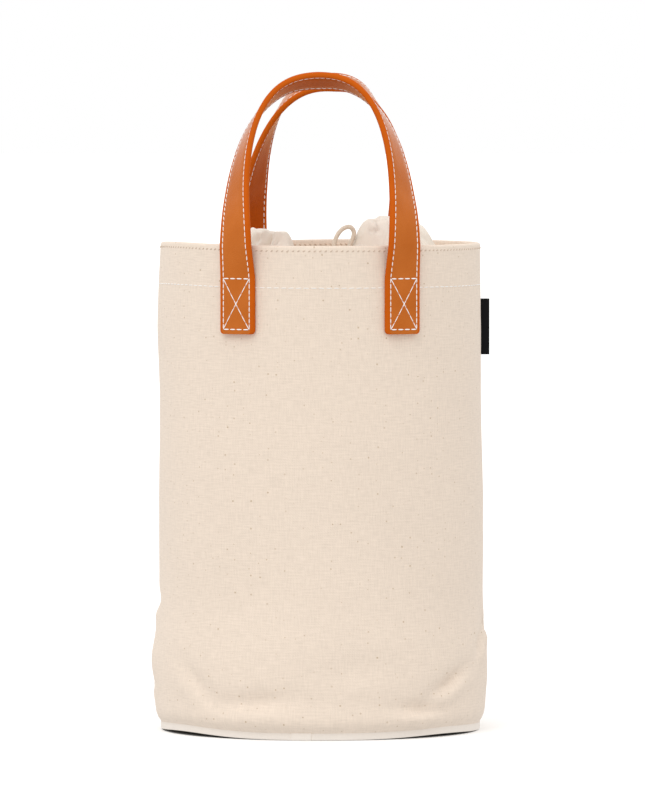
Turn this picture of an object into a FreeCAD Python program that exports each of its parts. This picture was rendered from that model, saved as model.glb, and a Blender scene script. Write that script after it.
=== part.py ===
import FreeCAD, Part
import math
import os

# A round canvas bottle carrier: a two-panel canvas wall on a bound round base, a lining, a crossed divider
# for the bottles, a drawstring collar inside the rim, and two double-layer leather handles.
# Millimetres, +Z up, origin at the middle of the floor under the base, the front of the bag towards -Y.

V = FreeCAD.Vector
UP = V(0, 0, 1)
ORIGIN = V(0, 0, 0)

# Wall of the bag: the outer face of the canvas
BODY_HEIGHT = 326.0
WAIST_RADIUS = 108.2
RIM_DRAW_IN = 1.4
BULGE_SWELL = 3.6
FOOT_TUCK = 2.2
WAIST_HEIGHT = 100.0
BULGE_HEIGHT = 38.0
CANVAS = 1.2
SEAM_GAP = 0.3
HEM_DEPTH = 27.8
FOLD_BEVEL = 0.9

# Cloth that lies against cloth is modelled this far apart
CLEARANCE = 0.15

# Lining and base
LINING = 0.6
LINING_TOP_BELOW_RIM = 6.0
BINDING_TAPE = 0.9
BINDING_HEIGHT = 5.2
BINDING_LAP_LENGTH = 14.0
BINDING_LAP_ANGLE = 268.0
BASE_BOARD = 2.0

# Crossed divider that keeps the bottles apart
DIVIDER = 3.0
DIVIDER_HEIGHT = 190.0
DIVIDER_CORNER = 14.0
DIVIDER_WALL_GAP = 0.6
DIVIDER_SLOT_PLAY = 0.3

# Label caught in the seam at the right side
LABEL = 0.8
LABEL_REACH = 6.0
LABEL_HEIGHT = 37.5
LABEL_TOP_BELOW_RIM = 37.5

# Drawstring collar: a pleated skirt, and a casing that rises to both sides and dips at the front and the back
COLLAR_THICKNESS = 0.8
COLLAR_PLEATS = 14
PLEAT_DEPTH = 2.2
SKIRT_BULGE = 9.0
COLLAR_LEAN = 4.0
CASING_RADIUS = 6.0
CASING_BORE = 2.2
CASING_ARC = 47.0
CASING_TILT = 45.0
CASING_DROP = 19.0
BUTTONHOLE_WIDTH = 5.2
BUTTONHOLE_PLAY = 6.0

# Drawstring, a limp round cotton cord
CORD = 3.0
CORD_END_GAP = 0.3

# Leather handles: two layers glued and sewn back to back
STRAP_WIDTH = 26.0
STRAP_LAYER = 1.8
STRAP_EDGE_BEVEL = 0.5
TAB_LENGTH = 36.6
TAB_TOP_BELOW_RIM = 21.8
TAB_CORNER = 3.0
ARCH_HEIGHT = 115.9
ARCH_FULLNESS = 2.54
TWIST_POWER = 1.23
ARCH_BEND_HEIGHT = 40.0
FLEX_ABOVE_RIM = 14.0
FLEX_GAP = 0.3
FRONT_TAB_ANGLE = 30.0
FRONT_LEAN = 20.9
FRONT_YAW = -2.1
FRONT_SWAY = -0.8
FRONT_TURN = 0.85
REAR_TAB_ANGLE = 27.5
REAR_LEAN = 22.5
REAR_YAW = 4.6
REAR_SWAY = -3.6
REAR_TURN = -1.4
FLEX_STATIONS = 5
ARCH_STATIONS = 15


def arc_radius(depth, half_chord):
    """Radius of the arc that falls away by a depth over a half chord; negative if it bends the other way."""
    return (depth ** 2 + half_chord ** 2) / (2 * depth)


# The wall's meridian: an arc from foot to bulge, an even S-bend to the waist, a straight taper to the rim
RIM_RADIUS = WAIST_RADIUS - RIM_DRAW_IN
BULGE_RADIUS = WAIST_RADIUS + BULGE_SWELL
FOOT_RADIUS = WAIST_RADIUS - FOOT_TUCK
FOOT_ARC = arc_radius(BULGE_SWELL + FOOT_TUCK, BULGE_HEIGHT - BINDING_HEIGHT)
BEND_ARC = arc_radius(BULGE_SWELL / 2, (WAIST_HEIGHT - BULGE_HEIGHT) / 2)


def bend_height(inset):
    """Height at which the S-bend changes from one arc to the other, on a face set in from the outer one."""
    half = (WAIST_HEIGHT - BULGE_HEIGHT) / 2
    return BULGE_HEIGHT + half * (1 - inset / BEND_ARC)


def wall_radius(z, inset=0.0):
    """Radius of the wall at a height above the floor, on a face set in from the outer one."""
    z = max(z, BINDING_HEIGHT)
    if z > WAIST_HEIGHT:
        rise = (z - WAIST_HEIGHT) / (BODY_HEIGHT - WAIST_HEIGHT)
        return WAIST_RADIUS + (RIM_RADIUS - WAIST_RADIUS) * rise - inset
    if z > bend_height(inset):
        hub, level, radius = WAIST_RADIUS + BEND_ARC, WAIST_HEIGHT, -BEND_ARC
    elif z > BULGE_HEIGHT:
        hub, level, radius = BULGE_RADIUS - BEND_ARC, BULGE_HEIGHT, BEND_ARC
    else:
        hub, level, radius = BULGE_RADIUS - FOOT_ARC, BULGE_HEIGHT, FOOT_ARC
    radius -= inset
    return hub + math.copysign(math.sqrt(radius ** 2 - (z - level) ** 2), radius)


def wall_edges(inset, low, high):
    """The wall's meridian between two heights, as edges in the XZ plane, set in from the outer face."""
    marks = [low]
    marks += [z for z in (BULGE_HEIGHT, bend_height(inset), WAIST_HEIGHT) if low < z < high]
    marks.append(high)
    edges = []
    for start, end in zip(marks, marks[1:]):
        a, m, b = (V(wall_radius(z, inset), 0, z) for z in (start, (start + end) / 2, end))
        edges.append(line(a, b) if start >= WAIST_HEIGHT else arc(a, m, b))
    return edges


def line(a, b):
    return Part.LineSegment(a, b).toShape()


def arc(a, b, c):
    return Part.Arc(a, b, c).toShape()


def face_of(edges):
    return Part.Face(Part.Wire(Part.__sortEdges__(edges)))


def revolve(face, start=0.0, end=360.0):
    """Turns a face in the XZ plane about Z, between two azimuths in degrees."""
    turned = face.copy()
    turned.rotate(ORIGIN, UP, start)
    return turned.revolve(ORIGIN, UP, end - start)


def outline(points):
    return face_of([line(a, b) for a, b in zip(points, points[1:] + points[:1])])


# Radial stack at the rim, from the outer face inwards
LINING_INSET = CANVAS + CLEARANCE
HEM_INSET = LINING_INSET + LINING + CLEARANCE
HEM_THICKNESS = HEM_INSET + CANVAS
HEM_BOTTOM = BODY_HEIGHT - HEM_DEPTH

# Levels at the base, from the floor up
EDGE_BOTTOM = BINDING_TAPE + CLEARANCE
BASE_TOP = BINDING_HEIGHT
BASE_BOTTOM = BASE_TOP - CANVAS
BOARD_BOTTOM = BASE_TOP + CLEARANCE
BASE_LINING_BOTTOM = BOARD_BOTTOM + BASE_BOARD + CLEARANCE
BASE_LINING_TOP = BASE_LINING_BOTTOM + LINING
DIVIDER_BOTTOM = BASE_LINING_TOP + CLEARANCE
BASE_EDGE_RADIUS = wall_radius(BINDING_HEIGHT, CANVAS) - CLEARANCE


def label_shape(play=0.0):
    """The folded label, standing out of the right seam; play widens it into the slot that holds it."""
    top = BODY_HEIGHT - LABEL_TOP_BELOW_RIM + play
    bottom = BODY_HEIGHT - LABEL_TOP_BELOW_RIM - LABEL_HEIGHT - play
    seam = wall_radius((top + bottom) / 2)
    half = LABEL / 2 + play
    inner = seam - CANVAS - play
    outer = seam + LABEL_REACH - half
    edges = [
        line(V(inner, -half, bottom), V(outer, -half, bottom)),
        arc(V(outer, -half, bottom), V(outer + half, 0, bottom), V(outer, half, bottom)),
        line(V(outer, half, bottom), V(inner, half, bottom)),
        line(V(inner, half, bottom), V(inner, -half, bottom)),
    ]
    return face_of(edges).extrude(UP * (top - bottom))


def canvas_panel(start, end):
    """Half of the wall, with its hem turned over the rim and down inside."""
    fold = BODY_HEIGHT - CANVAS
    rim = wall_radius(fold)
    rim_inside = rim - HEM_THICKNESS
    hem = wall_radius(HEM_BOTTOM)
    foot_inside = wall_radius(BINDING_HEIGHT, CANVAS)
    edges = [line(V(FOOT_RADIUS, 0, EDGE_BOTTOM), V(FOOT_RADIUS, 0, BINDING_HEIGHT))]
    edges += wall_edges(0, BINDING_HEIGHT, fold)
    edges += [
        line(V(rim, 0, fold), V(rim - FOLD_BEVEL, 0, BODY_HEIGHT)),
        line(V(rim - FOLD_BEVEL, 0, BODY_HEIGHT), V(rim_inside + FOLD_BEVEL, 0, BODY_HEIGHT)),
        line(V(rim_inside + FOLD_BEVEL, 0, BODY_HEIGHT), V(rim_inside, 0, fold)),
        line(V(rim_inside, 0, fold), V(hem - HEM_THICKNESS, 0, HEM_BOTTOM)),
        line(V(hem - HEM_THICKNESS, 0, HEM_BOTTOM), V(hem - HEM_INSET, 0, HEM_BOTTOM)),
        line(V(hem - HEM_INSET, 0, HEM_BOTTOM), V(rim - HEM_INSET, 0, fold)),
        line(V(rim - HEM_INSET, 0, fold), V(rim - CANVAS, 0, fold)),
    ]
    edges += wall_edges(CANVAS, BINDING_HEIGHT, fold)
    edges += [
        line(V(foot_inside, 0, BINDING_HEIGHT), V(foot_inside, 0, EDGE_BOTTOM)),
        line(V(foot_inside, 0, EDGE_BOTTOM), V(FOOT_RADIUS, 0, EDGE_BOTTOM)),
    ]
    seam_angle = math.degrees(SEAM_GAP / 2 / RIM_RADIUS)
    panel = revolve(face_of(edges), start + seam_angle, end - seam_angle)
    return panel.cut(label_shape(CLEARANCE))


def base_panel():
    """Canvas disc whose edge is turned down into the binding, inside the wall's edge."""
    outer = BASE_EDGE_RADIUS
    inner = outer - CANVAS
    corners = [(0, BASE_TOP), (outer, BASE_TOP), (outer, EDGE_BOTTOM)]
    corners += [(inner, EDGE_BOTTOM), (inner, BASE_BOTTOM), (0, BASE_BOTTOM)]
    return revolve(outline([V(r, 0, z) for r, z in corners]))


def base_binding():
    """Tape folded round the edges of wall and base; it carries the bag and laps over itself at the front."""
    outer = FOOT_RADIUS + CLEARANCE
    inner = BASE_EDGE_RADIUS - CANVAS - CLEARANCE
    inner_top = BASE_BOTTOM - CLEARANCE
    corners = [(inner - BINDING_TAPE, 0), (outer + BINDING_TAPE, 0)]
    corners += [(outer + BINDING_TAPE, BINDING_HEIGHT), (outer, BINDING_HEIGHT), (outer, BINDING_TAPE)]
    corners += [(inner, BINDING_TAPE), (inner, inner_top), (inner - BINDING_TAPE, inner_top)]
    ring = revolve(outline([V(r, 0, z) for r, z in corners]))
    lap_inside = outer + BINDING_TAPE / 2
    lap_outside = outer + 2 * BINDING_TAPE
    lap = [(lap_inside, 0), (lap_outside, 0), (lap_outside, BINDING_HEIGHT), (lap_inside, BINDING_HEIGHT)]
    half_lap = math.degrees(BINDING_LAP_LENGTH / 2 / lap_outside)
    lap_ring = revolve(
        outline([V(r, 0, z) for r, z in lap]), BINDING_LAP_ANGLE - half_lap, BINDING_LAP_ANGLE + half_lap
    )
    return ring.fuse(lap_ring).removeSplitter()


def base_board():
    radius = wall_radius(BOARD_BOTTOM, CANVAS) - CLEARANCE
    return Part.makeCylinder(radius, BASE_BOARD, V(0, 0, BOARD_BOTTOM))


def wall_lining():
    """Cotton tube inside the canvas; its upper edge is held inside the hem."""
    top = BODY_HEIGHT - LINING_TOP_BELOW_RIM
    bottom = BASE_LINING_BOTTOM
    outer = LINING_INSET
    inner = LINING_INSET + LINING
    edges = wall_edges(outer, bottom, top) + wall_edges(inner, bottom, top)
    for z in (bottom, top):
        edges.append(line(V(wall_radius(z, inner), 0, z), V(wall_radius(z, outer), 0, z)))
    return revolve(face_of(edges))


def base_lining():
    radius = wall_radius(BASE_LINING_BOTTOM, LINING_INSET + LINING) - CLEARANCE
    return Part.makeCylinder(radius, LINING, V(0, 0, BASE_LINING_BOTTOM))


def divider(slot_at_top):
    """One padded divider across the bag, along X, half lapped over the other at the middle."""
    ends = (DIVIDER_BOTTOM, DIVIDER_BOTTOM + DIVIDER_HEIGHT)
    half_width = min(wall_radius(z, LINING_INSET + LINING) for z in ends) - DIVIDER_WALL_GAP
    panel = Part.makeBox(
        2 * half_width, DIVIDER, DIVIDER_HEIGHT, V(-half_width, -DIVIDER / 2, DIVIDER_BOTTOM)
    )
    top = DIVIDER_BOTTOM + DIVIDER_HEIGHT
    corners = [
        e for e in panel.Edges
        if abs(e.CenterOfMass.z - top) < 1e-6 and abs(abs(e.CenterOfMass.x) - half_width) < 1e-6
    ]
    panel = panel.makeFillet(DIVIDER_CORNER, corners)
    slot_half = DIVIDER / 2 + DIVIDER_SLOT_PLAY
    middle = DIVIDER_BOTTOM + DIVIDER_HEIGHT / 2
    low, high = (middle, top) if slot_at_top else (DIVIDER_BOTTOM, middle + DIVIDER_SLOT_PLAY)
    slot = Part.makeBox(2 * slot_half, 2 * DIVIDER, high - low, V(-slot_half, -DIVIDER, low))
    return panel.cut(slot)


# Collar: the casing's ring is four equal arcs that meet smoothly, each in a plane tilted up or down

CASING_SWEEP = math.degrees(math.atan(1 / math.cos(math.radians(CASING_TILT))))
CASING_HUB = CASING_ARC * (
    math.sin(math.radians(CASING_SWEEP))
    - math.cos(math.radians(CASING_SWEEP)) * math.cos(math.radians(CASING_TILT))
)
CASING_HUB_HEIGHT = CASING_ARC * math.sin(math.radians(CASING_TILT)) * math.cos(math.radians(CASING_SWEEP))
CASING_WAVE = CASING_ARC * math.sin(math.radians(CASING_TILT)) - CASING_HUB_HEIGHT
CASING_LEVEL = BODY_HEIGHT - CASING_DROP + CASING_WAVE
RIGHT, BACK, LEFT, FRONT = range(4)


def place_on_ring(side):
    """Where one of the four arcs lies: its plane tilts up to the sides, down to the back and front."""
    tilt = -CASING_TILT if side in (RIGHT, LEFT) else CASING_TILT
    height = math.copysign(CASING_HUB_HEIGHT, tilt)
    arc_place = FreeCAD.Placement(V(CASING_HUB, 0, height), FreeCAD.Rotation(V(0, 1, 0), tilt))
    turn = FreeCAD.Placement(ORIGIN, FreeCAD.Rotation(UP, 90 * side))
    lean = FreeCAD.Placement(V(0, 0, CASING_LEVEL), FreeCAD.Rotation(V(0, 1, 0), -COLLAR_LEAN))
    return lean * turn * arc_place


def casing_point(side, sweep):
    """Middle of the casing on one of its arcs, at an angle from the middle of that arc in degrees."""
    angle = math.radians(sweep)
    return place_on_ring(side).multVec(V(CASING_ARC * math.cos(angle), CASING_ARC * math.sin(angle), 0))


def casing_arc(section, side, start=-CASING_SWEEP, end=CASING_SWEEP):
    """A section turned along one of the casing's arcs."""
    shape = revolve(section, start, end)
    shape.Placement = place_on_ring(side) * shape.Placement
    return shape


def ring_section(radius):
    return Part.Face(Part.Wire([Part.makeCircle(radius, V(CASING_ARC, 0, 0), V(0, 1, 0))]))


def collar_casing():
    """Hollow casing round the mouth, with a long buttonhole on top where the drawstring comes out."""
    section = ring_section(CASING_RADIUS).cut(ring_section(CASING_BORE)).Faces[0]
    quarters = [casing_arc(section, side) for side in (RIGHT, BACK, LEFT, FRONT)]
    tube = quarters[0].fuse(quarters[1:])
    between = LOOP_RIGHT - LOOP_LEFT
    length = math.hypot(between.x, between.y) + 2 * BUTTONHOLE_PLAY
    buttonhole = Part.makeBox(
        length, BUTTONHOLE_WIDTH, 3 * CASING_RADIUS, V(-length / 2, -BUTTONHOLE_WIDTH / 2, 0)
    )
    buttonhole.rotate(ORIGIN, UP, math.degrees(math.atan2(between.y, between.x)))
    buttonhole.translate((LOOP_LEFT + LOOP_RIGHT) * 0.5)
    return tube.cut(buttonhole)


def collar_skirt():
    """Pleated cloth from the inside of the hem up and over to the casing."""
    foot_radius = wall_radius(HEM_BOTTOM) - HEM_THICKNESS - CLEARANCE - COLLAR_THICKNESS
    pleat_sweep = math.radians(4 * CASING_SWEEP / COLLAR_PLEATS)
    sag = (CASING_ARC + CASING_RADIUS) * (1 - math.cos(pleat_sweep / 2))
    sections = []
    for i in range(2 * COLLAR_PLEATS):
        pleat = PLEAT_DEPTH if i % 2 else -PLEAT_DEPTH
        side, share = divmod(4 * i / (2 * COLLAR_PLEATS) + 0.5, 1)
        ring = casing_point(int(side) % 4, (2 * share - 1) * CASING_SWEEP)
        out = V(ring.x, ring.y, 0).normalize()
        foot = out * foot_radius + UP * HEM_BOTTOM
        chord = (ring - foot).normalize()
        head = ring - chord * (CASING_RADIUS + sag + 2 * CLEARANCE)
        rise = out.cross(UP).cross(chord)
        rise = rise if rise.z > 0 else rise * -1
        bulge = rise * (SKIRT_BULGE + pleat)
        inner = [foot, foot * 0.75 + head * 0.25 + bulge * 0.75, foot * 0.3 + head * 0.7 + bulge, head]
        outer = [p + rise * COLLAR_THICKNESS for p in inner]
        sections.append(Part.makePolygon(inner + outer[::-1] + inner[:1]))
    return Part.makeLoft(sections, True, True, True)


# Drawstring: the loop's route, then the rest of the cord inside the casing

LOOP_FOOT_LEFT = 9.6
LOOP_FOOT_RIGHT = 22.6
LOOP_LEFT = casing_point(FRONT, LOOP_FOOT_LEFT)
LOOP_RIGHT = casing_point(FRONT, LOOP_FOOT_RIGHT)
LOOP_ROUTE = [
    LOOP_LEFT,
    LOOP_LEFT + V(0.3, 0, 16.0),
    LOOP_LEFT + V(6.2, 0.3, 28.2),
    LOOP_LEFT + V(14.4, 1.2, 31.4),
    LOOP_LEFT + V(17.6, 2.4, 24.6),
    LOOP_RIGHT + V(1.2, 0.4, 14.0),
    LOOP_RIGHT,
]
ARC_SHARE = 0.45


def rounded_route(points):
    """Straight runs joined by tangent arcs as large as their runs allow; returns the path and the radii."""
    edges, radii = [], []
    start = points[0]
    for before, corner, after in zip(points, points[1:], points[2:]):
        arriving = corner - before
        leaving = after - corner
        reach = ARC_SHARE * min(arriving.Length, leaving.Length)
        turn = arriving.getAngle(leaving)
        radius = reach / math.tan(turn / 2)
        enter = corner - arriving.normalize() * reach
        leave = corner + leaving.normalize() * reach
        inward = ((enter + leave) * 0.5 - corner).normalize()
        hub = corner + inward * (radius / math.cos(turn / 2))
        edges += [line(start, enter), arc(enter, hub - inward * radius, leave)]
        radii.append(radius)
        start = leave
    edges.append(line(start, points[-1]))
    return Part.Wire(edges), radii


def drawstring_loop():
    """The bight of cord that stands out of the buttonhole."""
    path, radii = rounded_route(LOOP_ROUTE)
    section = Part.Wire([Part.makeCircle(CORD / 2, LOOP_ROUTE[0], LOOP_ROUTE[1] - LOOP_ROUTE[0])])
    shell = Part.BRepOffsetAPI.MakePipeShell(path)
    shell.add(section)
    shell.build()
    shell.makeSolid()
    tube = shell.shape()
    expected = math.pi * (CORD / 2) ** 2 * path.Length
    print("loop length", round(path.Length, 2), "radii", [round(r, 1) for r in radii])
    print("loop volume over section times length", round(tube.Volume / expected, 4))
    return tube


def drawstring_in_casing():
    """The cord inside the casing, from one foot of the loop all the way round to the other."""
    section = ring_section(CORD / 2)
    gap = math.degrees((CORD + CORD_END_GAP) / CASING_ARC)
    first = casing_arc(section, FRONT, -CASING_SWEEP, LOOP_FOOT_LEFT - gap)
    last = casing_arc(section, FRONT, LOOP_FOOT_RIGHT + gap, CASING_SWEEP)
    return first.fuse([casing_arc(section, side) for side in (RIGHT, BACK, LEFT)] + [last])


# Handles: each strap runs from a sewn tab up over an arch that twists, leans and yaws, and down again

TAB_TOP = BODY_HEIGHT - TAB_TOP_BELOW_RIM
TAB_BOTTOM = TAB_TOP - TAB_LENGTH
TAB_REACH = max(wall_radius(TAB_BOTTOM), RIM_RADIUS) + CLEARANCE + STRAP_LAYER
PATH_STEPS = 240


def smooth(share):
    share = max(0.0, min(1.0, share))
    return share * share * (3 - 2 * share)


def arch_point(height_share, half_span):
    """A point of the arch in its own plane, as (sideways, above the rim), from the rim up to the crown."""
    angle = math.pi / 2 * height_share
    power = 2 / ARCH_FULLNESS
    return half_span * math.cos(angle) ** power, ARCH_HEIGHT * math.sin(angle) ** power


def half_path(half_span):
    """Points from the tab's top up one leg to the crown, with the length of strap that leads to each."""
    legs = [(half_span, -TAB_TOP_BELOW_RIM), (half_span, 0.0)]
    points = legs + [arch_point(i / PATH_STEPS, half_span) for i in range(1, PATH_STEPS + 1)]
    lengths = [0.0]
    for a, b in zip(points, points[1:]):
        lengths.append(lengths[-1] + math.hypot(b[0] - a[0], b[1] - a[1]))
    return points, lengths


def along(path, distance):
    """Place and direction on a half path at a length of strap from the tab's top."""
    points, lengths = path
    i = 0
    while i < len(points) - 2 and lengths[i + 1] < distance:
        i += 1
    share = (distance - lengths[i]) / (lengths[i + 1] - lengths[i])
    (ax, az), (bx, bz) = points[i], points[i + 1]
    run = lengths[i + 1] - lengths[i]
    return ax + (bx - ax) * share, az + (bz - az) * share, (bx - ax) / run, (bz - az) / run


class Handle:
    """The front handle's path; the rear one is the same strap turned half round the bag."""

    def __init__(self, tab_angle, lean, yaw, sway):
        self.tab_angle = math.radians(tab_angle)
        self.tab_twist = 90.0 - tab_angle
        self.lean = lean
        self.yaw = yaw
        self.sway = sway
        self.reach = TAB_REACH
        for _ in range(8):
            self.path = half_path(self.reach * math.sin(self.tab_angle))
            self.total = self.path[1][-1]
            self.reach = TAB_REACH + self.peel_at(TAB_TOP_BELOW_RIM / self.total)
        self.hinge = V(0, -self.reach * math.cos(self.tab_angle), BODY_HEIGHT)

    def twist_at(self, share):
        """Turn of the strap's face out of the arch's plane towards the front, in degrees."""
        return self.tab_twist * max(0.0, 1.0 - share) ** TWIST_POWER

    def peel_at(self, share):
        """How far the strap's middle stands off the wall because its inner edge has turned away from it."""
        return STRAP_WIDTH / 2 * math.sin(math.radians(self.tab_twist - self.twist_at(share)))

    def frame(self, distance, side):
        """Middle, width direction and outward normal of the strap at a length from a tab's top."""
        share = distance / self.total
        u, w, du, dw = along(self.path, distance)
        twist = math.radians(self.twist_at(share))
        reach = min(TAB_REACH + self.peel_at(share), self.reach)
        if w <= 0:
            u = reach * math.sin(self.tab_angle)
        middle = V(side * u, -reach * math.cos(self.tab_angle), BODY_HEIGHT + w)
        tangent = V(side * du, 0, dw)
        in_plane = V(side * dw, 0, -du)
        normal = in_plane * math.cos(twist) + V(0, -1, 0) * math.sin(twist)
        width = tangent.cross(normal) * -side
        if w > 0:
            rise = smooth(w / ARCH_BEND_HEIGHT)
            turn = FreeCAD.Rotation(UP, self.yaw * smooth(w / ARCH_HEIGHT))
            turn = FreeCAD.Rotation(V(0, 1, 0), self.sway * rise) * turn
            turn = FreeCAD.Rotation(V(1, 0, 0), -self.lean * rise) * turn
            middle = self.hinge + turn.multVec(middle - self.hinge)
            width = turn.multVec(width)
            normal = turn.multVec(normal)
        return middle, width.normalize(), normal.normalize()

    def section(self, distance, side, outer):
        """Outline of one leather layer across the strap, its outer corners bevelled."""
        middle, width, normal = self.frame(distance, side)
        normal = normal if outer else normal * -1
        half, bevel = STRAP_WIDTH / 2, STRAP_EDGE_BEVEL
        near, far = CLEARANCE / 2, STRAP_LAYER
        corners = [(-half, near), (half, near), (half, far - bevel), (half - bevel, far)]
        corners += [(bevel - half, far), (-half, far - bevel)]
        return Part.makePolygon([middle + width * x + normal * y for x, y in corners + corners[:1]])

    def flex_length(self):
        """Length of strap from the tab's top to the level where the stiff arch begins."""
        return TAB_TOP_BELOW_RIM + FLEX_ABOVE_RIM

    def tab(self, side, outer):
        """The flat sewn end of one layer, its lower corners rounded."""
        middle, width, normal = self.frame(0.0, side)
        normal = normal if outer else normal * -1
        half = STRAP_WIDTH / 2
        bend = TAB_CORNER
        cut = bend * (1 - math.sqrt(0.5))
        base = middle + normal * (CLEARANCE / 2)

        def at(x, z):
            return base + width * x + UP * z

        low = -TAB_LENGTH
        edges = [
            line(at(-half, 0), at(half, 0)),
            line(at(half, 0), at(half, low + bend)),
            arc(at(half, low + bend), at(half - cut, low + cut), at(half - bend, low)),
            line(at(half - bend, low), at(bend - half, low)),
            arc(at(bend - half, low), at(cut - half, low + cut), at(-half, low + bend)),
            line(at(-half, low + bend), at(-half, 0)),
        ]
        return face_of(edges).extrude(normal * (STRAP_LAYER - CLEARANCE / 2))

    def flex(self, side, outer):
        """The stretch that bends when the handle swings, between the tab and the arch."""
        step = self.flex_length() / (FLEX_STATIONS - 1)
        return Part.makeLoft([self.section(step * i, side, outer) for i in range(FLEX_STATIONS)], True)

    def arch(self, outer):
        """The stiff arch from one leg over the crown to the other."""
        start = self.flex_length() + FLEX_GAP
        step = (self.total - start) / (ARCH_STATIONS // 2)
        rising = [self.section(start + step * i, -1, outer) for i in range(ARCH_STATIONS // 2)]
        crown = [self.section(self.total, -1, outer)]
        falling = [self.section(start + step * i, 1, outer) for i in reversed(range(ARCH_STATIONS // 2))]
        return Part.makeLoft(rising + crown + falling, True)


def handle_parts(name, handle, turn):
    """The named pieces of one handle, turned round the bag by an angle in degrees."""
    made = {}
    for outer, layer in ((True, "outer"), (False, "backing")):
        made[f"{name}_handle_{layer}_tabs"] = Part.makeCompound([handle.tab(s, outer) for s in (-1, 1)])
        made[f"{name}_handle_{layer}_flex"] = Part.makeCompound([handle.flex(s, outer) for s in (-1, 1)])
        made[f"{name}_handle_{layer}_arch"] = handle.arch(outer)
    for shape in made.values():
        shape.rotate(ORIGIN, UP, turn)
    return made


def all_parts():
    """Every piece of the bag under its name."""
    deep_divider = divider(slot_at_top=False)
    deep_divider.rotate(ORIGIN, UP, 90)
    parts = {
        "front_panel": canvas_panel(180, 360),
        "back_panel": canvas_panel(0, 180),
        "base_panel": base_panel(),
        "base_binding": base_binding(),
        "base_board": base_board(),
        "wall_lining": wall_lining(),
        "base_lining": base_lining(),
        "divider_across": divider(slot_at_top=True),
        "divider_deep": deep_divider,
        "side_label": label_shape(),
        "collar_skirt": collar_skirt(),
        "collar_casing": collar_casing(),
        "drawstring_in_casing": drawstring_in_casing(),
        "drawstring_loop": drawstring_loop(),
    }
    front = Handle(FRONT_TAB_ANGLE, FRONT_LEAN, FRONT_YAW, FRONT_SWAY)
    rear = Handle(REAR_TAB_ANGLE, REAR_LEAN, REAR_YAW, REAR_SWAY)
    parts.update(handle_parts("front", front, FRONT_TURN))
    parts.update(handle_parts("rear", rear, 180 + REAR_TURN))
    return parts


os.makedirs("parts", exist_ok=True)
for node, shape in all_parts().items():
    solids = shape.Solids
    print(node, "solids", len(solids), "valid", shape.isValid(), "volume", round(shape.Volume, 1))
    Part.makeCompound(solids).exportStep(f"parts/{node}.step")
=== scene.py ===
import math

import bmesh
import bpy
from mathutils import Matrix, Vector, noise


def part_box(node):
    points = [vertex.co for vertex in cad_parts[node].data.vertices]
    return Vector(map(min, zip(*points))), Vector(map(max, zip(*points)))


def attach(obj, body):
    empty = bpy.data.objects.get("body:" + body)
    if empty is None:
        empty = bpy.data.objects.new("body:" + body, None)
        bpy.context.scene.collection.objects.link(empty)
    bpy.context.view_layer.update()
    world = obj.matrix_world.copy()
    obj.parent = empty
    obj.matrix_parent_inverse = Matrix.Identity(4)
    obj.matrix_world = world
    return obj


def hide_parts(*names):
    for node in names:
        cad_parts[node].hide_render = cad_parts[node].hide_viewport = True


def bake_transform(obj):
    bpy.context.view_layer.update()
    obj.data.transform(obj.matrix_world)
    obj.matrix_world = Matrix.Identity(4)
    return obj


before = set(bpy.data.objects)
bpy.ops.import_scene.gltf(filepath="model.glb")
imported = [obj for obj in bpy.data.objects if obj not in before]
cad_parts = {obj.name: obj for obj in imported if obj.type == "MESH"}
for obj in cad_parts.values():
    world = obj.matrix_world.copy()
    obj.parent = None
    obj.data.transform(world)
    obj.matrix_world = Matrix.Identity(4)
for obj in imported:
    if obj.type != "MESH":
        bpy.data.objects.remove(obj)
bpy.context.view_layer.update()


# Wall of the bag: two panels of natural canvas joined at the side seams, the hem turned in at the rim.
# The cloth stands by its own weight and is dented where it was folded, mostly just above the base.
# Its weave is a shader group that every cloth of the bag uses, laid out in metres.
MM = 0.001
FULL_TURN = 2 * math.pi
rim_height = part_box("front_panel")[1].z
foot_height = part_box("base_binding")[1].z
CANVAS = 1.2 * MM
RIM_RADIUS, WAIST_RADIUS = 106.8 * MM, 108.2 * MM
BULGE_RADIUS, FOOT_RADIUS = 111.8 * MM, 106.0 * MM
WAIST_HEIGHT, BULGE_HEIGHT = 100 * MM, 38 * MM
PANEL_LOW = 1 * MM
HEM_DEPTH, HEM_GAP = 27.8 * MM, 2.1 * MM
TOPSTITCH_DROP, GROOVE_DEPTH, GROOVE_WIDTH = 3.5 * MM, 0.16 * MM, 1.1 * MM
WALL_ROWS, HEM_ROWS, FOLD_STEPS, HALF_ROUND_STEPS = 96, 9, 6, 132
# The rows below are in degrees and millimetres.
CREASES = (
    # azimuth, height, half length, half width, slope of the crease, depth
    (181, 87, 13, 5.5, 0, 2.6),
    (184, 32, 10, 4.0, 5, 1.5),
    (357, 71, 11, 4.5, -20, 2.8),
    (322, 37, 20, 4.5, 24, 4.6),
    (308, 19, 19, 4.2, -4, 4.0),
    (248, 25, 24, 5.5, 5, 3.0),
    (224, 36, 21, 6.0, -36, 2.4),
    (283, 47, 28, 9.0, 6, 1.2),
    (345, 60, 12, 4.5, 42, 2.6),
    (20, 56, 18, 6.0, 20, 1.8),
    (68, 28, 22, 6.0, -10, 1.7),
    (118, 38, 18, 6.0, 24, 1.6),
    (150, 74, 16, 7.0, -15, 1.8),
)
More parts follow.
